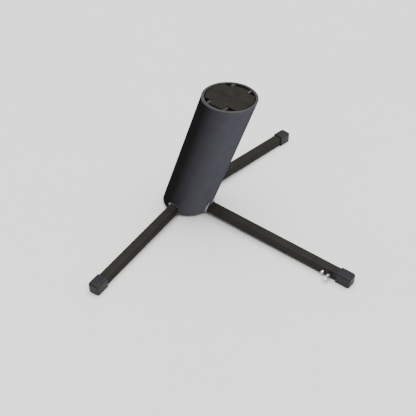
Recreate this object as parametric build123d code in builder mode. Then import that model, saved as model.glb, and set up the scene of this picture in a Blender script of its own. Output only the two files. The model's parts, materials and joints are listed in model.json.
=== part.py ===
"""Saxophone stand: a leaning column on three folding legs, with a mast and cradle stowed in it.

Millimetres, +Z up. The origin is on the floor at the centre of the stand's footprint. The
column stands near the front (-Y) and leans back (+Y) over the long rear leg.
"""
import os
from math import atan, cos, degrees, radians, sin, tan

from build123d import *

os.makedirs("parts", exist_ok=True)

# ---------------------------------------------------------------- driving dimensions
HUB_Y = -130.6          # column's foot, from the middle of the footprint
LEAN = 19.6             # column's lean towards the rear leg, degrees
COLUMN_R = 38.1         # 3 inch tube
COLUMN_WALL = 2.0
RIM_Z = 6.0             # level cut at the foot
TUBE_TOP_Z = 227.0      # level cut at the top

# legs
LEG = 14.0              # square leg tube
LEG_WALL = 1.2
LEG_CORNER = 1.2
LEG_TAIL = 7.5          # leg beyond its pin, towards the hub
PIN_Z = 14.0            # height of the three hinge pins
PIN_R = 2.5
PIN_HALF = 16.5
SIDE_ANGLE = 84.0       # side legs, from the rear leg in plan
SIDE_LENGTH = 241.0     # hub centre to the end of the foot cap
REAR_LENGTH = 301.5
SIDE_PIN = 22.0         # hinge pin, from the hub centre
REAR_PIN = 27.0
PLUG_LENGTH = 26.0
PLUG_GAP = 0.1

# foot caps
CAP = 17.8
CAP_LENGTH = 22.5
CAP_END = 2.0
CAP_CORNER = 2.0

# screws near the rear leg's foot: along the leg from its pin, and above its middle
STOP_SCREW = (229.5, -3.0)
THUMB_SCREW = (241.0, -0.5)
END_SCREW_R = 1.5

# notches in the column's foot, and their liners
LINER_WALL = 1.15
LINER_HALF = 8.5        # half of a liner's outside width
LINER_TOP_Z = PIN_Z + 8.25
LINER_BOTTOM_Z = RIM_Z + 0.2
LINER_INNER = {"right": 31.5, "left": 31.5, "rear": 36.5}
LINER_OUTER = {"right": (40.6, 40.6), "left": (40.6, 40.6), "rear": (48.1, 42.6)}
LIP_UP = 33.2           # lip on the wall above the rear leg, up the column's axis
LIP_HEIGHT = 6.6
LIP_WALL = 1.3
NOTCH_HALF = LINER_HALF + 0.1
NOTCH_TOP_Z = LINER_TOP_Z + 0.1

# hub inside the column's foot
HUB_R = 35.8
HUB_BOTTOM_Z = 7.0
HUB_TOP_Z = 36.0
SLOT_HALF = 7.35        # leg slot in the hub
SLOT_IN = 10.8          # slot beyond the pin, towards the middle
SLOT_OUT = 8.8          # its high part, on the other side of the pin
SLOT_HIGH = 10.6
SLOT_LOW = 7.3
SCREW_R = 2.5
SCREW_AZIMUTHS = (205.0, 245.0)
HUB_SCREW_UP = 14.0

# collar in the column's top, and the clamp
COLLAR_R = 35.8
COLLAR_BOTTOM_Z = 181.0
COLLAR_SCREW_UP = 199.5
SHELF_Z = 213.0         # floor of the head's recess
RECESS_R = 34.3
FLANGE_TOP_Z = 228.2
KNOB_AZIMUTH = 222.0    # round the column's axis
KNOB_UP = 187.0         # up the column's axis
KNOB_R = 10.5

# mast and its head
MAST_R = 22.5
MAST_WALL = 1.5
MAST_BOTTOM = 50.0      # up the column's axis from the foot
GUIDE_BOTTOM = 52.0
GUIDE_TOP = 70.0
GUIDE_SCREW_UP = 61.0
GUIDE_SCREW_AZIMUTHS = (0.0, 180.0)
HEAD_R = 33.9
HEAD_Z = 213.4
HEAD_PLATE_Z = 218.4
HEAD_SPIGOT_UP = 192.0
HEAD_PIN_UP = 204.0
HEAD_PIN_R = 2.0

# cradle arms, which are also the lid
ARM_HINGE_X = 27.0
ARM_HINGE_Z = 225.4
ARM_PIN_R = 1.5
ARM_TOP_Z = 228.2
ARM_BOTTOM_Z = 224.6
ARM_R = 32.9
ARM_WIDE_X = 21.8       # how far out the arm keeps its full width
KNUCKLE_R = 2.7
KNUCKLE_HALF = 12.0
LUG_INNER_X = 23.2
LUG_HALF = 16.4
PAD_BOTTOM_Z = 219.2
PAD_R = 30.5
PAD_OUTER_X = 22.0

# bow rest, folded into a slot in the column's wall
BOW_UP = 54.0           # pivot, up the column's axis
BOW_R = 35.2            # pivot, from the column's axis
BOW_LENGTH = 84.0
BOW_HALF = 5.0
BOW_THICK = 2.4
BOW_PIN_R = 1.25
EAR_IN_X = 5.35
EAR_WALL = 1.5
RIVET_UPS = (36.0, 44.0)

LEAN_SIN = sin(radians(LEAN))
LEAN_COS = cos(radians(LEAN))


# ---------------------------------------------------------------- frames of reference
def column_plane(up=0.0):
    """Across the column's axis, up millimetres along it from the centre of the foot."""
    return Plane(
        origin=(0, HUB_Y + up * LEAN_SIN, RIM_Z + up * LEAN_COS),
        x_dir=(1, 0, 0),
        z_dir=(0, LEAN_SIN, LEAN_COS),
    )


def radial_plane(azimuth, radius, up):
    """Facing outwards from the column's axis, with its Y up the column."""
    base = column_plane(up)
    a = radians(azimuth)
    out = base.x_dir * cos(a) + base.y_dir * sin(a)
    side = base.y_dir * cos(a) - base.x_dir * sin(a)
    return Plane(origin=base.origin + out * radius, x_dir=side, z_dir=out)


def leg_slope(length, pin):
    """The leg falls from its pin to the middle of its foot cap."""
    return degrees(atan((PIN_Z - CAP / 2 - 0.05) / (length - pin)))


def leg_plane(azimuth, length, pin):
    """Origin on the hinge pin, X along the leg, Z up out of the leg's top face."""
    a = radians(azimuth)
    s = radians(leg_slope(length, pin))
    return Plane(
        origin=(pin * cos(a), HUB_Y + pin * sin(a), PIN_Z),
        x_dir=(cos(a) * cos(s), sin(a) * cos(s), -sin(s)),
        z_dir=(cos(a) * sin(s), sin(a) * sin(s), cos(s)),
    )


def level_plane(azimuth, z=0.0):
    """Level, with its X along a leg and its origin over the hub centre."""
    a = radians(azimuth)
    return Plane(origin=(0, HUB_Y, z), x_dir=(cos(a), sin(a), 0), z_dir=(0, 0, 1))


def level_axis(azimuth):
    """Level, along a leg in plan."""
    plane = level_plane(azimuth)
    return Axis(plane.origin, plane.x_dir)


def upright_plane(azimuth):
    """Upright through the hub centre: X along a leg, Y up, facing across the leg."""
    a = radians(azimuth)
    return Plane(origin=(0, HUB_Y, 0), x_dir=(cos(a), sin(a), 0), z_dir=(sin(a), -cos(a), 0))


LEGS = {
    "right": (90.0 - SIDE_ANGLE, SIDE_LENGTH, SIDE_PIN),
    "left": (90.0 + SIDE_ANGLE, SIDE_LENGTH, SIDE_PIN),
    "rear": (90.0, REAR_LENGTH, REAR_PIN),
}


def axis_y(z):
    """Where the column's axis is at this height."""
    return HUB_Y + (z - RIM_Z) * tan(radians(LEAN))


def leaning(radius, low, high):
    """A round bar along the column's axis, cut off level at both ends."""
    with BuildPart() as bar:
        with BuildSketch(column_plane(-60)):
            Circle(radius)
        extrude(amount=380)
        split(bisect_by=Plane.XY.offset(low), keep=Keep.TOP)
        split(bisect_by=Plane.XY.offset(high), keep=Keep.BOTTOM)
    return bar.part


def section_plane(leg, along):
    """Across a leg, along millimetres out from its hinge pin."""
    return Plane(origin=leg.origin + leg.x_dir * along, x_dir=leg.y_dir, z_dir=leg.x_dir)


def side_plane(leg, along, up=0.0):
    """Through a leg's middle, facing out of its -Y side."""
    middle = leg.origin + leg.x_dir * along + leg.z_dir * up
    return Plane(origin=middle, x_dir=leg.x_dir, z_dir=leg.y_dir * -1)


def save(piece, name):
    piece.part.label = name
    export_step(piece.part, f"parts/{name}.step")


# ---------------------------------------------------------------- column and hub
def make_column_tube():
    outside = leaning(COLUMN_R, RIM_Z, TUBE_TOP_Z)
    inside = leaning(COLUMN_R - COLUMN_WALL, 0, 260)
    with BuildPart() as column_tube:
        add(outside)
        add(inside, mode=Mode.SUBTRACT)
        for azimuth, _, _ in LEGS.values():
            with BuildSketch(level_plane(azimuth, RIM_Z - 5)):
                with Locations((40, 0)):
                    Rectangle(50, 2 * NOTCH_HALF)
            extrude(amount=NOTCH_TOP_Z - RIM_Z + 5, mode=Mode.SUBTRACT)
        for azimuth in SCREW_AZIMUTHS:
            for up in (HUB_SCREW_UP, COLLAR_SCREW_UP):
                with BuildSketch(radial_plane(azimuth, 30, up)):
                    Circle(2.6)
                extrude(amount=15, mode=Mode.SUBTRACT)
        with BuildSketch(radial_plane(KNOB_AZIMUTH, 30, KNOB_UP)):
            Circle(3.6)
        extrude(amount=15, mode=Mode.SUBTRACT)
        for up in RIVET_UPS:
            with BuildSketch(radial_plane(270, 30, up)):
                Circle(1.65)
            extrude(amount=15, mode=Mode.SUBTRACT)
        with BuildSketch(radial_plane(270, 30, BOW_UP)):
            with Locations((0, 1.3)):
                Rectangle(15.2, 9.4)
            with Locations((0, (BOW_LENGTH + 3) / 2)):
                Rectangle(2 * BOW_HALF + 1, BOW_LENGTH + 3)
            with Locations((0, BOW_LENGTH)):
                Circle(7.5)
        extrude(amount=15, mode=Mode.SUBTRACT)
    save(column_tube, "column_tube")


def make_base_hub():
    block = leaning(HUB_R, HUB_BOTTOM_Z, HUB_TOP_Z)
    with BuildPart() as base_hub:
        add(block)
        for name, (azimuth, _, pin) in LEGS.items():
            upright = upright_plane(azimuth)
            with BuildSketch(upright):
                with BuildLine():
                    Polyline(
                        (pin - SLOT_IN, 0),
                        (60, 0),
                        (60, PIN_Z + SLOT_LOW),
                        (pin + SLOT_OUT, PIN_Z + SLOT_LOW),
                        (pin + SLOT_OUT, PIN_Z + SLOT_HIGH),
                        (pin - SLOT_IN, PIN_Z + SLOT_HIGH),
                        close=True,
                    )
                make_face()
            extrude(amount=SLOT_HALF, both=True, mode=Mode.SUBTRACT)
            with BuildSketch(upright):
                with BuildLine():
                    Polyline(
                        (LINER_INNER[name] - 0.1, 0),
                        (60, 0),
                        (60, NOTCH_TOP_Z),
                        (LINER_INNER[name] - 0.1, NOTCH_TOP_Z),
                        close=True,
                    )
                make_face()
            extrude(amount=NOTCH_HALF, both=True, mode=Mode.SUBTRACT)
            with BuildSketch(upright):
                with Locations((pin, PIN_Z)):
                    Circle(PIN_R + 0.01)
            extrude(amount=PIN_HALF + 0.3, both=True, mode=Mode.SUBTRACT)
        for azimuth in SCREW_AZIMUTHS:
            with BuildSketch(radial_plane(azimuth, 26.5, HUB_SCREW_UP)):
                Circle(SCREW_R + 0.01)
            extrude(amount=15, mode=Mode.SUBTRACT)
    save(base_hub, "base_hub")


def make_leg_pins():
    """Three alike, one across the root of each leg."""
    with BuildPart() as leg_pins:
        for azimuth, _, pin in LEGS.values():
            with BuildSketch(upright_plane(azimuth)):
                with Locations((pin, PIN_Z)):
                    Circle(PIN_R)
            extrude(amount=PIN_HALF, both=True)
    save(leg_pins, "leg_pins")


def make_notch_liner(name):
    """Plated channel over the leg's root. The rear one has a lip up the outside of the wall."""
    azimuth = LEGS[name][0]
    inner = LINER_INNER[name]
    top, foot = LINER_OUTER[name]
    upright = upright_plane(azimuth)
    with BuildPart() as liner:
        with BuildSketch(upright):
            with BuildLine():
                Polyline(
                    (inner, LINER_BOTTOM_Z),
                    (foot, LINER_BOTTOM_Z),
                    (top, LINER_TOP_Z),
                    (inner, LINER_TOP_Z),
                    close=True,
                )
            make_face()
        extrude(amount=LINER_HALF, both=True)
        fillet(liner.edges().filter_by(level_axis(azimuth)).group_by(Axis.Z)[-1], 0.8)
        with BuildSketch(upright):
            with Locations((inner + 10, 0)):
                Rectangle(60, 2 * (LINER_TOP_Z - LINER_WALL))
        extrude(amount=LINER_HALF - LINER_WALL, both=True, mode=Mode.SUBTRACT)
        if name == "rear":
            with BuildSketch(radial_plane(90, COLUMN_R + 0.15, LIP_UP)):
                RectangleRounded(2 * LINER_HALF, LIP_HEIGHT, 1.6)
            extrude(amount=LIP_WALL)
    save(liner, f"notch_liner_{name}")


def make_radial_screws(name, up, depth):
    """Two button-head screws through the column's wall."""
    with BuildPart() as screws:
        for azimuth in SCREW_AZIMUTHS:
            with BuildSketch(radial_plane(azimuth, depth, up)):
                Circle(SCREW_R)
            extrude(amount=COLUMN_R + 0.1 - depth)
            with BuildSketch(radial_plane(azimuth, COLUMN_R + 0.1, up)):
                Circle(4.6)
            extrude(amount=2.6, taper=20)
            with BuildSketch(radial_plane(azimuth, COLUMN_R + 1.0, up)):
                RegularPolygon(1.7, 6)
            extrude(amount=3, mode=Mode.SUBTRACT)
    save(screws, name)


# ---------------------------------------------------------------- legs
def make_leg_tube(name):
    azimuth, length, pin = LEGS[name]
    leg = leg_plane(azimuth, length, pin)
    end = length - pin - CAP_END - 0.1
    with BuildPart() as tube:
        with BuildSketch(section_plane(leg, -LEG_TAIL)):
            RectangleRounded(LEG, LEG, LEG_CORNER)
            RectangleRounded(LEG - 2 * LEG_WALL, LEG - 2 * LEG_WALL, 0.4, mode=Mode.SUBTRACT)
        extrude(amount=LEG_TAIL + end)
        with BuildSketch(side_plane(leg, 0)):
            Circle(PIN_R + 0.2)
        extrude(amount=LEG, both=True, mode=Mode.SUBTRACT)
        if name == "rear":
            for along, up in (STOP_SCREW, THUMB_SCREW):
                with BuildSketch(side_plane(leg, along, up)):
                    Circle(END_SCREW_R + 0.1)
                extrude(amount=LEG, mode=Mode.SUBTRACT)
    save(tube, f"leg_tube_{name}")


def make_root_plug(name):
    """Stops the tube crushing round its hinge pin."""
    azimuth, length, pin = LEGS[name]
    leg = leg_plane(azimuth, length, pin)
    width = LEG - 2 * LEG_WALL - PLUG_GAP
    with BuildPart() as plug:
        with BuildSketch(section_plane(leg, -LEG_TAIL + 0.6)):
            RectangleRounded(width, width, 0.6)
        extrude(amount=PLUG_LENGTH)
        with BuildSketch(side_plane(leg, 0)):
            Circle(PIN_R + 0.06)
        extrude(amount=LEG, both=True, mode=Mode.SUBTRACT)
    save(plug, f"root_plug_{name}")


def make_foot_cap(name):
    """Slip-on square cap. Its underside is level, so that it sits flat on the floor."""
    azimuth, length, pin = LEGS[name]
    leg = leg_plane(azimuth, length, pin)
    reach = length - pin
    with BuildPart() as cap:
        with BuildSketch(section_plane(leg, reach - CAP_LENGTH)):
            with Locations((0, -1.0)):
                RectangleRounded(CAP, CAP + 2.0, CAP_CORNER)
        extrude(amount=CAP_LENGTH)
        fillet(cap.faces().sort_by(Axis(leg.origin, leg.x_dir))[-1].edges(), 1.4)
        split(bisect_by=Plane.XY, keep=Keep.TOP)
        with BuildSketch(section_plane(leg, reach - CAP_LENGTH - 1)):
            RectangleRounded(LEG + 0.1, LEG + 0.1, LEG_CORNER)
        extrude(amount=CAP_LENGTH + 1 - CAP_END, mode=Mode.SUBTRACT)
    save(cap, f"foot_cap_{name}")


def make_end_insert():
    """Block in the rear leg's end that its two screws bite into."""
    azimuth, length, pin = LEGS["rear"]
    leg = leg_plane(azimuth, length, pin)
    width = LEG - 2 * LEG_WALL - PLUG_GAP
    with BuildPart() as insert:
        with BuildSketch(section_plane(leg, length - pin - 48)):
            RectangleRounded(width, width, 0.6)
        extrude(amount=42)
        for along, up in (STOP_SCREW, THUMB_SCREW):
            with BuildSketch(side_plane(leg, along, up)):
                Circle(END_SCREW_R + 0.01)
            extrude(amount=LEG, both=True, mode=Mode.SUBTRACT)
    save(insert, "end_insert")


def make_stop_screw():
    """Short pan-head screw in the side of the rear leg."""
    azimuth, length, pin = LEGS["rear"]
    middle = side_plane(leg_plane(azimuth, length, pin), *STOP_SCREW)
    face = LEG / 2 + 0.05
    with BuildPart() as screw:
        with BuildSketch(middle.offset(-3)):
            Circle(END_SCREW_R)
        extrude(amount=3 + face)
        with BuildSketch(middle.offset(face)):
            Circle(2.9)
        extrude(amount=2.8, taper=18)
        with BuildSketch(middle.offset(face + 2.0)):
            Rectangle(3.2, 0.7)
            Rectangle(0.7, 3.2)
        extrude(amount=2, mode=Mode.SUBTRACT)
    save(screw, "stop_screw")


def make_thumb_screw():
    """Long knurled screw in the side of the rear leg."""
    azimuth, length, pin = LEGS["rear"]
    middle = side_plane(leg_plane(azimuth, length, pin), *THUMB_SCREW)
    face = LEG / 2 + 0.05
    with BuildPart() as screw:
        with BuildSketch(middle.offset(-3)):
            Circle(END_SCREW_R)
        extrude(amount=3 + face)
        with BuildSketch(middle.offset(face)):
            Circle(2.1)
        extrude(amount=3.4)
        with BuildSketch(middle.offset(face + 3.4)):
            Circle(3.0)
            with PolarLocations(3.15, 14):
                Circle(0.3, mode=Mode.SUBTRACT)
        extrude(amount=8.2)
    save(screw, "thumb_screw")


# ---------------------------------------------------------------- collar and clamp
def make_top_collar():
    outside = leaning(COLLAR_R, COLLAR_BOTTOM_Z, TUBE_TOP_Z + 0.05)
    recess = leaning(RECESS_R, SHELF_Z, 260)
    bore = leaning(MAST_R + 0.06, 100, 260)
    rim_z = TUBE_TOP_Z + 0.05
    with BuildPart() as top_collar:
        add(outside)
        with BuildSketch(Plane.XY.offset(rim_z)):
            with Locations((0, axis_y(rim_z))):
                Ellipse(COLUMN_R, COLUMN_R / LEAN_COS)
        extrude(amount=FLANGE_TOP_Z - rim_z)
        fillet(top_collar.edges().group_by(Axis.Z)[-1], 0.8)
        add(recess, mode=Mode.SUBTRACT)
        add(bore, mode=Mode.SUBTRACT)
        for azimuth in SCREW_AZIMUTHS:
            with BuildSketch(radial_plane(azimuth, 27, COLLAR_SCREW_UP)):
                Circle(SCREW_R + 0.01)
            extrude(amount=15, mode=Mode.SUBTRACT)
        with BuildSketch(radial_plane(KNOB_AZIMUTH, 20, KNOB_UP)):
            Circle(3.4)
        extrude(amount=20, mode=Mode.SUBTRACT)
        with BuildSketch(radial_plane(KNOB_AZIMUTH, 26, KNOB_UP)):
            Circle(4.51)
        extrude(amount=15, mode=Mode.SUBTRACT)
    save(top_collar, "top_collar")


def make_clamp_insert():
    with BuildPart() as insert:
        with BuildSketch(radial_plane(KNOB_AZIMUTH, 26.1, KNOB_UP)):
            Circle(4.5)
            Circle(3.05, mode=Mode.SUBTRACT)
        extrude(amount=9)
    save(insert, "clamp_insert")


def make_clamp_screw():
    with BuildPart() as screw:
        with BuildSketch(radial_plane(KNOB_AZIMUTH, MAST_R + 0.4, KNOB_UP)):
            Circle(3.0)
        extrude(amount=24)
        chamfer(screw.edges().filter_by(GeomType.CIRCLE), 0.5)
    save(screw, "clamp_screw")


def make_clamp_knob():
    with BuildPart() as knob:
        with BuildSketch(radial_plane(KNOB_AZIMUTH, COLUMN_R + 2.4, KNOB_UP)):
            Circle(KNOB_R)
            with PolarLocations(KNOB_R + 2.1, 6):
                Circle(3.6, mode=Mode.SUBTRACT)
        extrude(amount=11)
        fillet(knob.faces().filter_by(radial_plane(KNOB_AZIMUTH, 0, KNOB_UP)).edges(), 0.8)
        with BuildSketch(radial_plane(KNOB_AZIMUTH, COLUMN_R, KNOB_UP)):
            Circle(3.01)
        extrude(amount=MAST_R + 24.5 - COLUMN_R, mode=Mode.SUBTRACT)
    save(knob, "clamp_knob")


# ---------------------------------------------------------------- mast and cradle
def make_mast_tube():
    outside = leaning(MAST_R, 30, HEAD_Z - 0.1)
    with BuildPart() as mast_tube:
        add(outside)
        split(bisect_by=column_plane(MAST_BOTTOM), keep=Keep.TOP)
        with BuildSketch(column_plane(0)):
            Circle(MAST_R - MAST_WALL)
        extrude(amount=280, mode=Mode.SUBTRACT)
        for azimuth in GUIDE_SCREW_AZIMUTHS:
            with BuildSketch(radial_plane(azimuth, 15, GUIDE_SCREW_UP)):
                Circle(2.05)
            extrude(amount=15, mode=Mode.SUBTRACT)
        with BuildSketch(radial_plane(0, -30, HEAD_PIN_UP)):
            Circle(HEAD_PIN_R + 0.02)
        extrude(amount=60, mode=Mode.SUBTRACT)
    save(mast_tube, "mast_tube")


def make_guide_ring():
    """Runs in the column. Its keyway passes the bow rest and keeps the mast from turning."""
    with BuildPart() as ring:
        with BuildSketch(column_plane(GUIDE_BOTTOM)):
            Circle(COLLAR_R)
            Circle(MAST_R + 0.05, mode=Mode.SUBTRACT)
        extrude(amount=GUIDE_TOP - GUIDE_BOTTOM)
        chamfer(ring.edges().filter_by(lambda e: e.length > 200), 1.0)
        with BuildSketch(column_plane(GUIDE_BOTTOM - 1)):
            with Locations((0, -36)):
                Rectangle(16, 10)
        extrude(amount=GUIDE_TOP - GUIDE_BOTTOM + 2, mode=Mode.SUBTRACT)
        for azimuth in GUIDE_SCREW_AZIMUTHS:
            with BuildSketch(radial_plane(azimuth, 15, GUIDE_SCREW_UP)):
                Circle(2.01)
            extrude(amount=30, mode=Mode.SUBTRACT)
    save(ring, "guide_ring")


def make_guide_screws():
    """Two headless screws that hold the guide ring on the mast."""
    with BuildPart() as screws:
        for azimuth in GUIDE_SCREW_AZIMUTHS:
            with BuildSketch(radial_plane(azimuth, 21.2, GUIDE_SCREW_UP)):
                Circle(2.0)
            extrude(amount=13)
            with BuildSketch(radial_plane(azimuth, 32.4, GUIDE_SCREW_UP)):
                RegularPolygon(1.1, 6)
            extrude(amount=3, mode=Mode.SUBTRACT)
    save(screws, "guide_screws")


def make_mast_head():
    plate = leaning(HEAD_R, HEAD_Z, HEAD_PLATE_Z)
    lugs = leaning(HEAD_R, HEAD_PLATE_Z - 1, ARM_TOP_Z - 0.3)
    spigot = leaning(MAST_R - MAST_WALL - 0.05, 100, HEAD_PLATE_Z - 1)
    middle = axis_y(ARM_HINGE_Z)
    with BuildPart() as mast_head:
        add(lugs)
        with BuildSketch(Plane.XY.offset(HEAD_PLATE_Z - 5)):
            with Locations((0, middle)):
                Rectangle(2 * LUG_INNER_X, 100)
        extrude(amount=40, mode=Mode.SUBTRACT)
        with BuildSketch(Plane.XY.offset(HEAD_PLATE_Z - 5)):
            with Locations((0, middle + LUG_HALF + 25), (0, middle - LUG_HALF - 25)):
                Rectangle(100, 50)
        extrude(amount=40, mode=Mode.SUBTRACT)
        with BuildSketch(Plane.XY.offset(HEAD_PLATE_Z)):
            with Locations((0, middle)):
                Rectangle(2 * (ARM_HINGE_X + 3.1), 2 * (KNUCKLE_HALF + 0.4))
        extrude(amount=40, mode=Mode.SUBTRACT)
        with BuildSketch(Plane.XY.offset(ARM_BOTTOM_Z)):
            with Locations((0, middle)):
                Rectangle(100, 2 * (KNUCKLE_HALF + 0.4))
        extrude(amount=40, mode=Mode.SUBTRACT)
        add(plate)
        add(spigot)
        split(bisect_by=column_plane(HEAD_SPIGOT_UP), keep=Keep.TOP)
        with BuildSketch(Plane.XZ.offset(-middle)):
            with Locations((ARM_HINGE_X, ARM_HINGE_Z), (-ARM_HINGE_X, ARM_HINGE_Z)):
                Circle(ARM_PIN_R + 0.01)
        extrude(amount=LUG_HALF + 5, both=True, mode=Mode.SUBTRACT)
        with BuildSketch(radial_plane(0, -30, HEAD_PIN_UP)):
            Circle(HEAD_PIN_R + 0.02)
        extrude(amount=60, mode=Mode.SUBTRACT)
    save(mast_head, "mast_head")


def make_head_pin():
    with BuildPart() as head_pin:
        with BuildSketch(radial_plane(0, 0, HEAD_PIN_UP)):
            Circle(HEAD_PIN_R)
        extrude(amount=MAST_R - 0.2, both=True)
    save(head_pin, "head_pin")


def make_arm_pins():
    middle = axis_y(ARM_HINGE_Z)
    with BuildPart() as arm_pins:
        with BuildSketch(Plane.XZ.offset(-middle)):
            with Locations((ARM_HINGE_X, ARM_HINGE_Z), (-ARM_HINGE_X, ARM_HINGE_Z)):
                Circle(ARM_PIN_R)
        extrude(amount=LUG_HALF - 0.2, both=True)
    save(arm_pins, "arm_pins")


def make_cradle_arm(name, side):
    """Half of the lid over the recess. It swings up and out to make one arm of the cradle."""
    plate = leaning(ARM_R, ARM_BOTTOM_Z, ARM_TOP_Z)
    middle = axis_y(ARM_HINGE_Z)
    with BuildPart() as arm:
        add(plate)
        with BuildSketch(Plane.XY.offset(ARM_BOTTOM_Z - 1)):
            with Locations((side * (0.3 - 30), middle)):
                Rectangle(60, 100)
            with Locations((side * (ARM_HINGE_X + 30), middle)):
                Rectangle(60, 100)
            with Locations(
                (side * (ARM_WIDE_X + 30), middle + KNUCKLE_HALF + 25),
                (side * (ARM_WIDE_X + 30), middle - KNUCKLE_HALF - 25),
            ):
                Rectangle(60, 50)
        extrude(amount=10, mode=Mode.SUBTRACT)
        with BuildSketch(Plane.XZ.offset(-middle)):
            with Locations((side * ARM_HINGE_X, ARM_HINGE_Z)):
                Circle(KNUCKLE_R)
        extrude(amount=KNUCKLE_HALF, both=True)
        with BuildSketch(Plane.XZ.offset(-middle)):
            with Locations((side * ARM_HINGE_X, ARM_HINGE_Z)):
                Circle(ARM_PIN_R + 0.05)
        extrude(amount=KNUCKLE_HALF + 5, both=True, mode=Mode.SUBTRACT)
    save(arm, f"cradle_arm_{name}")


def make_cradle_pad(name, side):
    """Cushion under the arm, which faces the instrument once the arm is up."""
    block = leaning(PAD_R, PAD_BOTTOM_Z, ARM_BOTTOM_Z - 0.1)
    middle = axis_y(ARM_HINGE_Z)
    with BuildPart() as pad:
        add(block)
        with BuildSketch(Plane.XY.offset(PAD_BOTTOM_Z - 1)):
            with Locations((side * (1.2 - 30), middle)):
                Rectangle(60, 100)
            with Locations((side * (PAD_OUTER_X + 30), middle)):
                Rectangle(60, 100)
        extrude(amount=10, mode=Mode.SUBTRACT)
        fillet(pad.edges().group_by(Axis.Z)[0], 1.5)
    save(pad, f"cradle_pad_{name}")


# ---------------------------------------------------------------- bow rest
def bow_plane(x=0.0):
    """On the bow rest's pivot, facing +X: its X points into the column, its Y up it."""
    base = column_plane(BOW_UP)
    pivot = base.origin - base.y_dir * BOW_R + base.x_dir * x
    return Plane(origin=pivot, x_dir=base.y_dir, z_dir=(1, 0, 0))


def make_bow_bracket():
    """Riveted inside the column. Its ears carry the pivot pin in the wall's slot."""
    with BuildPart() as bracket:
        with BuildSketch(column_plane(BOW_UP - 24)):
            Circle(COLUMN_R - COLUMN_WALL - 0.05)
            Circle(COLUMN_R - COLUMN_WALL - 1.5, mode=Mode.SUBTRACT)
            with Locations((0, -COLUMN_R)):
                Rectangle(2 * (EAR_IN_X + EAR_WALL), 20, mode=Mode.INTERSECT)
        extrude(amount=20)
        for x in (EAR_IN_X, -EAR_IN_X - EAR_WALL):
            with BuildSketch(bow_plane(x)):
                Circle(2.2)
                with Locations((1.1, -5)):
                    Rectangle(2.2, 10)
            extrude(amount=EAR_WALL)
        with BuildSketch(bow_plane()):
            Circle(BOW_PIN_R + 0.01)
        extrude(amount=15, both=True, mode=Mode.SUBTRACT)
        for up in RIVET_UPS:
            with BuildSketch(radial_plane(270, 30, up)):
                Circle(1.65)
            extrude(amount=10, mode=Mode.SUBTRACT)
    save(bracket, "bow_bracket")


def make_bow_rivets():
    """Two, with heads inside and outside the column's wall."""
    with BuildPart() as rivets:
        for up in RIVET_UPS:
            with BuildSketch(radial_plane(270, 33.5, up)):
                Circle(2.4)
            extrude(amount=0.95)
            with BuildSketch(radial_plane(270, 34.0, up)):
                Circle(1.6)
            extrude(amount=COLUMN_R + 0.5 - 34.0)
            with BuildSketch(radial_plane(270, COLUMN_R + 0.1, up)):
                Circle(2.6)
            extrude(amount=0.8, taper=25)
    save(rivets, "bow_rivets")


def make_bow_pin():
    with BuildPart() as pin:
        with BuildSketch(bow_plane()):
            Circle(BOW_PIN_R)
        extrude(amount=EAR_IN_X + EAR_WALL, both=True)
    save(pin, "bow_pin")


def make_bow_arm():
    """Strip that lies flush in the slot and swings down to stand out from the column."""
    with BuildPart() as arm:
        with BuildSketch(bow_plane()):
            Circle(BOW_THICK)
            with Locations((-BOW_THICK / 2, BOW_LENGTH / 2)):
                Rectangle(BOW_THICK, BOW_LENGTH)
            Circle(BOW_PIN_R + 0.05, mode=Mode.SUBTRACT)
        extrude(amount=BOW_HALF, both=True)
        tip = arm.faces().sort_by(Axis(column_plane().origin, column_plane().z_dir))[-1]
        fillet(tip.edges().filter_by(Axis.X, reverse=True), 3.0)
    save(arm, "bow_arm")


def make_bow_pad():
    """Rubber pad on the arm's inner face, which is uppermost once the arm is down."""
    with BuildPart() as pad:
        with BuildSketch(bow_plane()):
            with Locations((1.1, 46)):
                Rectangle(2.0, 64)
        extrude(amount=BOW_HALF - 0.4, both=True)
        inner = pad.faces().sort_by(Axis(bow_plane().origin, bow_plane().x_dir))[-1]
        fillet(inner.edges(), 0.8)
    save(pad, "bow_pad")


def main():
    make_column_tube()
    make_base_hub()
    make_leg_pins()
    make_radial_screws("hub_screws", HUB_SCREW_UP, 28.0)
    make_radial_screws("collar_screws", COLLAR_SCREW_UP, 28.5)
    for name in LEGS:
        make_notch_liner(name)
        make_leg_tube(name)
        make_root_plug(name)
        make_foot_cap(name)
    make_end_insert()
    make_stop_screw()
    make_thumb_screw()
    make_top_collar()
    make_clamp_insert()
    make_clamp_screw()
    make_clamp_knob()
    make_mast_tube()
    make_guide_ring()
    make_guide_screws()
    make_mast_head()
    make_head_pin()
    make_arm_pins()
    for name, side in (("right", 1), ("left", -1)):
        make_cradle_arm(name, side)
        make_cradle_pad(name, side)
    make_bow_bracket()
    make_bow_rivets()
    make_bow_pin()
    make_bow_arm()
    make_bow_pad()


main()
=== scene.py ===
import json
from math import atan, cos, pi, radians, sin, sqrt, tan

import bpy
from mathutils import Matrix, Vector


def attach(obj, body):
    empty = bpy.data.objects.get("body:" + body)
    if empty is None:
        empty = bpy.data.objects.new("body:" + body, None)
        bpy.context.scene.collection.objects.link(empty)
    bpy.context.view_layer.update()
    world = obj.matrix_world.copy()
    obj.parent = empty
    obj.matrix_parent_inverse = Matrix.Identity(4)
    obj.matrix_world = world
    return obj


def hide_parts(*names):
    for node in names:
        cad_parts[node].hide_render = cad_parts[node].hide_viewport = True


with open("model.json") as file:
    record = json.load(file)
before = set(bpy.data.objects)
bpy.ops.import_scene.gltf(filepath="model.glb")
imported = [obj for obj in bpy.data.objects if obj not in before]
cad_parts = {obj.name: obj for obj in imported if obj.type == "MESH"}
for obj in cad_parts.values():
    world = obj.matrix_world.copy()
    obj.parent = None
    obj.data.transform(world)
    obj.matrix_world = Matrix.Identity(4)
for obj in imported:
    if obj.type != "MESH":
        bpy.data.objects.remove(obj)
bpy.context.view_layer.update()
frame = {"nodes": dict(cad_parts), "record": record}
MM = 0.001

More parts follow.
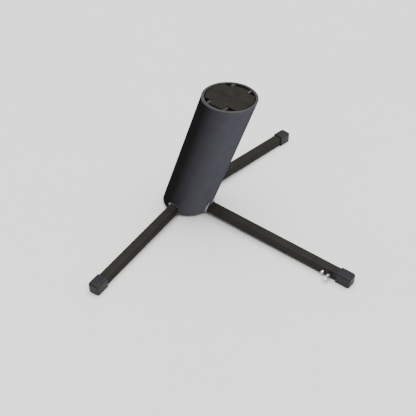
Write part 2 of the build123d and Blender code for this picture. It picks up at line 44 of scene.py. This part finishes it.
# sizes shared with the CAD part, in millimetres
HUB_Y = -130.6
RIM_Z = 6.0
LEAN = radians(19.6)
PIN_Z = 14.0
CAP = 17.8
CAP_LENGTH = 22.5
CAP_CLEAR = 0.05          # between a leg cap's end and the floor, before the tread below is added
LEG = 14.0
LEGS = {                  # azimuth in degrees, length from the hub's centre, hinge pin from there
    "right": (6.0, 241.0, 22.0),
    "left": (174.0, 241.0, 22.0),
    "rear": (90.0, 301.5, 27.0),
}
PAD_TOP_Z = 224.5
PAD_BOTTOM_Z = 219.2
BOW_UP = 54.0             # bow rest's pivot, up the column's axis
BOW_R = 35.2              # and out from the axis

# the moulded pieces' own shapes, in millimetres
TREAD = 0.7               # a cap's lower side, deeper than the rest
PAD_MIDDLE = 2.6          # height in a cushion at which its outline is centred
PAD_R = 30.0
PAD_INNER_X = 1.4
PAD_OUTER_X = 21.8
PAD_STRETCH_Y = 1.04
RIB_PITCH = 4.0
STRIP_START = 14.1        # ribbed strip, along the bow rest from its pivot
STRIP_LENGTH = 63.8


# ---------------------------------------------------------------- finishes
def link(tree, a, b):
    """Joins output a to input b."""
    tree.links.new(a, b)


def noise(tree, coords, scale, detail, rough, stretch=None):
    """Uneven value around 0.5, with the coordinates scaled by stretch where it is given."""
    node = tree.nodes.new("ShaderNodeTexNoise")
    node.inputs["Scale"].default_value = scale
    node.inputs["Detail"].default_value = detail
    node.inputs["Roughness"].default_value = rough
    if stretch:
        mapping = tree.nodes.new("ShaderNodeMapping")
        mapping.inputs["Scale"].default_value = stretch
        link(tree, coords, mapping.inputs["Vector"])
        coords = mapping.outputs["Vector"]
    link(tree, coords, node.inputs["Vector"])
    return node.outputs["Fac"]


def ramp(tree, value, low, high, out_low, out_high):
    """Maps low..high onto out_low..out_high."""
    node = tree.nodes.new("ShaderNodeMapRange")
    node.inputs["From Min"].default_value = low
    node.inputs["From Max"].default_value = high
    node.inputs["To Min"].default_value = out_low
    node.inputs["To Max"].default_value = out_high
    link(tree, value, node.inputs["Value"])
    return node.outputs["Result"]


def mix(tree, fac, a, b):
    """Colour a where fac is 0 and colour b where it is 1."""
    node = tree.nodes.new("ShaderNodeMix")
    node.data_type = "RGBA"
    link(tree, fac, node.inputs["Factor"])
    for socket, colour in ((node.inputs[6], a), (node.inputs[7], b)):
        if isinstance(colour, tuple):
            socket.default_value = (*colour, 1.0)
        else:
            link(tree, colour, socket)
    return node.outputs[2]


def finish(name, dark, light, rough, metal=0.0, grain=900.0, bump=0.02, edge=0.3, specks=None,
           smudge=70.0, stretch=None, spec=0.5, gloss=None):
    """A surface with two tones, uneven gloss, fine relief and softly rounded edges.

    bump and edge are millimetres. specks is a colour and its strength. gloss is the share of shine,
    the same at every angle, and its roughness.
    """
    mat = bpy.data.materials.new(name)
    mat.use_nodes = True
    tree = mat.node_tree
    shader = tree.nodes["Principled BSDF"]
    coords = tree.nodes.new("ShaderNodeTexCoord").outputs["Object"]
    broad = noise(tree, coords, smudge, 5.0, 0.6, stretch)
    fine = noise(tree, coords, grain, 3.0, 0.5, stretch)
    colour = mix(tree, ramp(tree, broad, 0.35, 0.65, 0.0, 1.0), dark, light)
    if specks:
        dots = noise(tree, coords, 1500.0, 2.0, 0.5)
        colour = mix(tree, ramp(tree, dots, 0.70, 0.76, 0.0, specks[1]), colour, specks[0])
    link(tree, colour, shader.inputs["Base Color"])
    link(tree, ramp(tree, broad, 0.3, 0.7, rough[0], rough[1]), shader.inputs["Roughness"])
    shader.inputs["Metallic"].default_value = metal
    shader.inputs["Specular IOR Level"].default_value = spec
    relief = tree.nodes.new("ShaderNodeBump")
    relief.inputs["Strength"].default_value = 1.0
    relief.inputs["Distance"].default_value = bump * MM
    link(tree, fine, relief.inputs["Height"])
    if edge:
        soft = tree.nodes.new("ShaderNodeBevel")
        soft.samples = 4
        soft.inputs["Radius"].default_value = edge * MM
        link(tree, soft.outputs["Normal"], relief.inputs["Normal"])
    link(tree, relief.outputs["Normal"], shader.inputs["Normal"])
    if gloss:
        sheen = tree.nodes.new("ShaderNodeBsdfAnisotropic")
        sheen.inputs["Roughness"].default_value = gloss[1]
        link(tree, relief.outputs["Normal"], sheen.inputs["Normal"])
        blend = tree.nodes.new("ShaderNodeMixShader")
        blend.inputs["Fac"].default_value = gloss[0]
        link(tree, shader.outputs["BSDF"], blend.inputs[1])
        link(tree, sheen.outputs["BSDF"], blend.inputs[2])
        link(tree, blend.outputs["Shader"], tree.nodes["Material Output"].inputs["Surface"])
    return mat


DUST = (0.16, 0.16, 0.165)
FINISHES = {
    "black_paint": finish("black_paint", (0.0185, 0.0172, 0.0152), (0.0235, 0.0218, 0.0192), (0.34, 0.46),
                          bump=0.012, specks=(DUST, 0.25), edge=0.45, spec=0.0, gloss=(0.012, 0.32)),
    "column_paint": finish("column_paint", (0.0048, 0.0047, 0.0055), (0.0054, 0.0053, 0.0061), (0.34, 0.46),
                           bump=0.010, specks=((0.05, 0.05, 0.055), 0.2), edge=0.45, spec=0.0,
                           gloss=(0.006, 0.30)),
    "plated_steel": finish("plated_steel", (0.36, 0.35, 0.395), (0.43, 0.42, 0.47), (0.24, 0.34),
                           metal=1.0, bump=0.006, grain=1500.0, edge=0.25, stretch=(1.0, 1.0, 6.0)),
    "bright_screw": finish("bright_screw", (0.74, 0.74, 0.76), (0.86, 0.86, 0.88), (0.16, 0.26),
                           metal=1.0, bump=0.006, grain=1500.0, edge=0.2),
    "black_screw": finish("black_screw", (0.014, 0.014, 0.015), (0.03, 0.03, 0.032), (0.3, 0.45),
                          metal=0.4, bump=0.01),
    "cast_black": finish("cast_black", (0.016, 0.016, 0.017), (0.028, 0.028, 0.03), (0.45, 0.62),
                         bump=0.06, grain=700.0, edge=0.6, specks=(DUST, 0.4)),
    "cap_rubber": finish("cap_rubber", (0.011, 0.0113, 0.0135), (0.016, 0.0164, 0.0195), (0.42, 0.55),
                         bump=0.05, grain=1100.0, edge=0.0, specks=((0.12, 0.12, 0.13), 0.5), spec=0.2),
    "pad_rubber": finish("pad_rubber", (0.012, 0.012, 0.013), (0.022, 0.022, 0.024), (0.7, 0.85),
                         bump=0.12, grain=1300.0, edge=0.0, specks=(DUST, 0.5), spec=0.3),
    "nylon": finish("nylon", (0.020, 0.020, 0.022), (0.030, 0.030, 0.033), (0.42, 0.55),
                    bump=0.03, grain=1000.0, edge=0.4, specks=(DUST, 0.3)),
    "brass_insert": finish("brass_insert", (0.50, 0.34, 0.12), (0.62, 0.44, 0.18), (0.25, 0.4),
                           metal=1.0, bump=0.01),
}

OWN_FINISH = {"column_tube": "column_paint", "stop_screw": "bright_screw", "thumb_screw": "bright_screw"}
SLOTS = {part["node"]: part["material_slot"] for part in frame["record"]["subparts"]}
for node, thing in frame["nodes"].items():
    thing.data.materials.clear()
    thing.data.materials.append(FINISHES[OWN_FINISH.get(node, SLOTS[node])])


# ---------------------------------------------------------------- mesh pieces
def piece(name, points, faces, slot, sharp=40.0):
    """A mesh from points in millimetres, in the frame of the CAD part."""
    mesh = bpy.data.meshes.new(name)
    mesh.from_pydata([tuple(p * MM) for p in points], [], faces)
    mesh.validate()
    mesh.shade_smooth()
    mesh.set_sharp_from_angle(angle=radians(sharp))
    thing = bpy.data.objects.new(name, mesh)
    bpy.context.collection.objects.link(thing)
    mesh.materials.append(FINISHES[slot])
    return thing


def loft(loops):
    """Joins loops of equal length one after another and closes both ends with a centre point."""
    count = len(loops[0])
    points = [p for loop in loops for p in loop]
    faces = []
    for i in range(len(loops) - 1):
        for k in range(count):
            n = (k + 1) % count
            a, b = i * count, (i + 1) * count
            faces.append((a + k, a + n, b + n, b + k))
    for loop, base, flip in ((loops[0], 0, True), (loops[-1], (len(loops) - 1) * count, False)):
        middle = len(points)
        points.append(sum(loop, Vector()) / count)
        for k in range(count):
            n = (k + 1) % count
            faces.append((base + n, base + k, middle) if flip else (base + k, base + n, middle))
    return points, faces


def rounded(half_w, half_h, corner, steps=8, edge=4):
    """A rounded rectangle as flat points, the same number whatever its size."""
    flat = []
    for sx, sy, first in ((1, 1, 0), (-1, 1, 90), (-1, -1, 180), (1, -1, 270)):
        for k in range(steps + 1):
            a = radians(first + 90 * k / steps)
            flat.append((sx * (half_w - corner) + corner * cos(a),
                         sy * (half_h - corner) + corner * sin(a)))
        x0, y0 = flat[-1]
        nx, ny = {0: (-(half_w - corner), half_h), 90: (-half_w, -(half_h - corner)),
                  180: (half_w - corner, -half_h), 270: (half_w, half_h - corner)}[first]
        flat += [(x0 + (nx - x0) * k / edge, y0 + (ny - y0) * k / edge) for k in range(1, edge)]
    return flat


def leg_frame(name):
    """A leg's hinge pin, and the directions along it, across it and up from it. It slopes to the floor."""
    azimuth, length, pin = LEGS[name]
    a = radians(azimuth)
    s = atan((PIN_Z - CAP / 2 - CAP_CLEAR) / (length - pin))
    origin = Vector((pin * cos(a), HUB_Y + pin * sin(a), PIN_Z))
    along = Vector((cos(a) * cos(s), sin(a) * cos(s), -sin(s)))
    up = Vector((cos(a) * sin(s), sin(a) * sin(s), cos(s)))
    return origin, along, up.cross(along), up


def foot_cap(name):
    """Moulded rubber cap: rolled lip at its mouth, faint swell, blunt rounded end, flat tread."""
    origin, along, side, up = leg_frame(name)
    _, length, pin = LEGS[name]
    mouth = length - pin - CAP_LENGTH
    inner = LEG / 2 + 0.05
    outer = CAP / 2
    # distance from the mouth, half width, corner radius: into the mouth, over the lip and along the outside
    profile = [(9.0, inner, 1.2), (1.0, inner, 1.2), (0.35, inner + 0.1, 1.3), (0.05, inner + 0.45, 1.5),
               (0.1, outer - 0.3, 2.0), (0.45, outer - 0.05, 2.3), (0.9, outer, 2.5), (1.9, outer, 2.6),
               (2.3, outer - 0.14, 2.6), (2.7, outer - 0.16, 2.6)]
    profile += [(3.4 + 1.55 * k, outer - 0.12 + 0.12 * sin(pi * k / 10), 2.6) for k in range(11)]
    profile += [(20.0, outer - 0.15, 2.7), (20.8, outer - 0.4, 2.8), (21.5, outer - 0.85, 2.9),
                (22.05, outer - 1.5, 3.0), (22.38, outer - 2.3, 3.0), (22.5, outer - 3.4, 3.0)]
    loops = []
    for s, half, corner in profile:
        loop = []
        for x, y in rounded(half, half, corner):
            outside_below = y < 0 and half > inner + 0.02
            deep = y - TREAD if outside_below else y
            p = origin + along * (mouth + s) + side * x + up * deep
            p.z = max(p.z, 0.0)
            loop.append(p)
        loops.append(loop)
    points, faces = loft(loops)
    thing = piece("cap_" + name, points, faces, "cap_rubber", 50.0)
    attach(thing, "leg_" + name)
    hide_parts("foot_cap_" + name)


def pad_outline():
    """Half-moon: a straight inner side, an arc, a short straight outer side and an arc back."""
    def reach(x):
        return sqrt(PAD_R ** 2 - x ** 2)

    straight, short = 24, 16
    rest = [PAD_INNER_X + (PAD_OUTER_X - PAD_INNER_X) * k / straight for k in range(1, straight)]
    reach_in = reach(PAD_INNER_X)
    reach_out = reach(PAD_OUTER_X)
    outline = [(PAD_INNER_X, -reach_in + 2 * reach_in * k / straight) for k in range(straight + 1)]
    outline += [(x, reach(x)) for x in rest]
    outline += [(PAD_OUTER_X, reach_out - 2 * reach_out * k / short) for k in range(short + 1)]
    outline += [(x, -reach(x)) for x in reversed(rest)]
    return outline


def cradle_pad(name, side):
    """Half-moon cushion under the lid: crowned face, rolled edge and a stitched line inside it."""
    middle_y = HUB_Y + (PAD_BOTTOM_Z + PAD_MIDDLE - RIM_Z) * tan(LEAN)
    outline = pad_outline()
    cx = (PAD_INNER_X + PAD_OUTER_X) / 2 - 1.0
    full = PAD_TOP_Z - PAD_BOTTOM_Z
    # share of the outline, share of the depth: flat top, rolled edge, stitched groove, crowned face
    levels = [(0.35, 0.0), (0.80, 0.0), (0.93, 0.0), (0.985, 0.10), (1.0, 0.28), (1.0, 0.48),
              (0.985, 0.64), (0.95, 0.76), (0.90, 0.80), (0.87, 0.74), (0.85, 0.74), (0.82, 0.83),
              (0.72, 0.91), (0.55, 0.97), (0.35, 0.995), (0.12, 1.0)]
    loops = []
    for shrink, depth in levels:
        z = PAD_TOP_Z - full * depth
        shift = (z - PAD_BOTTOM_Z - PAD_MIDDLE) * tan(LEAN)
        loops.append([
            Vector((side * (cx + (x - cx) * shrink), middle_y + shift + y * PAD_STRETCH_Y * shrink, z))
            for x, y in outline
        ])
    points, faces = loft(loops)
    if side > 0:
        faces = [tuple(reversed(f)) for f in faces]
    thing = piece("cushion_" + name, points, faces, "pad_rubber", 60.0)
    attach(thing, "cradle_" + name)
    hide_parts("cradle_pad_" + name)


def bow_pad():
    """Rubber strip with cross ribs on the inner face of the bow rest."""
    axis = Vector((0, sin(LEAN), cos(LEAN)))
    inward = Vector((0, cos(LEAN), -sin(LEAN)))
    pivot = Vector((0, HUB_Y, RIM_Z)) + axis * BOW_UP - inward * BOW_R
    middle = STRIP_START + STRIP_LENGTH / 2
    loops = []
    steps = 160
    for k in range(steps + 1):
        y = STRIP_START + STRIP_LENGTH * k / steps
        end = min(1.0, min(k, steps - k) / 3.0)
        rib = 0.5 + 0.5 * cos(2 * pi * (y - middle) / RIB_PITCH)
        thick = (1.35 + 0.6 * min(1.0, rib * 1.8)) * (0.55 + 0.45 * end)
        half = 4.35 + 0.2 * end
        flat = rounded(half, thick / 2, min(0.6, thick / 2.2), steps=4, edge=3)
        loops.append([pivot + axis * y + inward * (0.12 + thick / 2 + v) + Vector((u, 0, 0))
                      for u, v in flat])
    points, faces = loft(loops)
    thing = piece("bow_rest_strip", points, faces, "pad_rubber", 50.0)
    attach(thing, "bow_rest")
    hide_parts("bow_pad")


for leg in LEGS:
    foot_cap(leg)
cradle_pad("right", 1)
cradle_pad("left", -1)
bow_pad()


# ---------------------------------------------------------------- floor, light, camera
def floor():
    """Pale floor, so wide that its far edge stays out of the photo's view."""
    mesh = bpy.data.meshes.new("floor")
    half = 40.0
    corners = [(-half, -half, 0), (half, -half, 0), (half, half, 0), (-half, half, 0)]
    mesh.from_pydata(corners, [], [(0, 1, 2, 3)])
    thing = bpy.data.objects.new("floor", mesh)
    bpy.context.collection.objects.link(thing)
    mat = bpy.data.materials.new("floor")
    mat.use_nodes = True
    tree = mat.node_tree
    shader = tree.nodes["Principled BSDF"]
    coords = tree.nodes.new("ShaderNodeTexCoord").outputs["Object"]
    broad = noise(tree, coords, 3.0, 2.0, 0.5)
    link(tree, mix(tree, broad, (0.83, 0.83, 0.83), (0.86, 0.86, 0.86)), shader.inputs["Base Color"])
    shader.inputs["Roughness"].default_value = 0.7
    shader.inputs["Specular IOR Level"].default_value = 0.2
    mesh.materials.append(mat)


def aimed(name, data, direction, place=(0, 0, 0)):
    """A light or the camera, looking along direction."""
    thing = bpy.data.objects.new(name, data)
    thing.location = place
    thing.rotation_mode = "QUATERNION"
    thing.rotation_quaternion = Vector(direction).to_track_quat("-Z", "Y")
    bpy.context.collection.objects.link(thing)
    return thing


def soft_top():
    """Very soft light from nearly overhead, even over the whole floor."""
    data = bpy.data.lights.new("top", "SUN")
    data.energy = 5.4
    data.angle = radians(70)
    data.color = (1.0, 0.985, 0.96)
    aimed("top", data, (0.06, -0.12, -1.0))


def side_light():
    """Softbox beyond the long leg. It reaches only the column, so the legs' sides stay dark."""
    data = bpy.data.lights.new("side", "AREA")
    data.shape = "RECTANGLE"
    data.size = 0.3
    data.size_y = 0.4
    data.energy = 640.0
    data.color = (0.93, 0.93, 1.0)
    place = Vector((0.55, 1.6, 0.10))
    column_middle = Vector((0, -0.1, 0.12))
    side = aimed("side", data, column_middle - place, place)
    lit = bpy.data.collections.new("lit_from_the_side")
    lit.objects.link(frame["nodes"]["column_tube"])
    side.light_linking.receiver_collection = lit


def surroundings():
    """Even, faintly blue light from all round."""
    world = bpy.data.worlds.new("studio")
    bpy.context.scene.world = world
    world.use_nodes = True
    background = world.node_tree.nodes["Background"]
    background.inputs["Color"].default_value = (0.97, 0.98, 1.0, 1.0)
    background.inputs["Strength"].default_value = 0.45


def add_camera():
    """The photo's viewpoint, worked out from the outlines of the column, legs and caps."""
    data = bpy.data.cameras.new("camera")
    data.sensor_width = 36.0
    data.lens = 69.95
    data.clip_start = 0.05
    data.clip_end = 200.0
    direction = (-0.59775, -0.47334, -0.64703)
    place = (0.75765, 0.51006, 0.82832)
    bpy.context.scene.camera = aimed("camera", data, direction, place)


floor()
soft_top()
side_light()
surroundings()
add_camera()
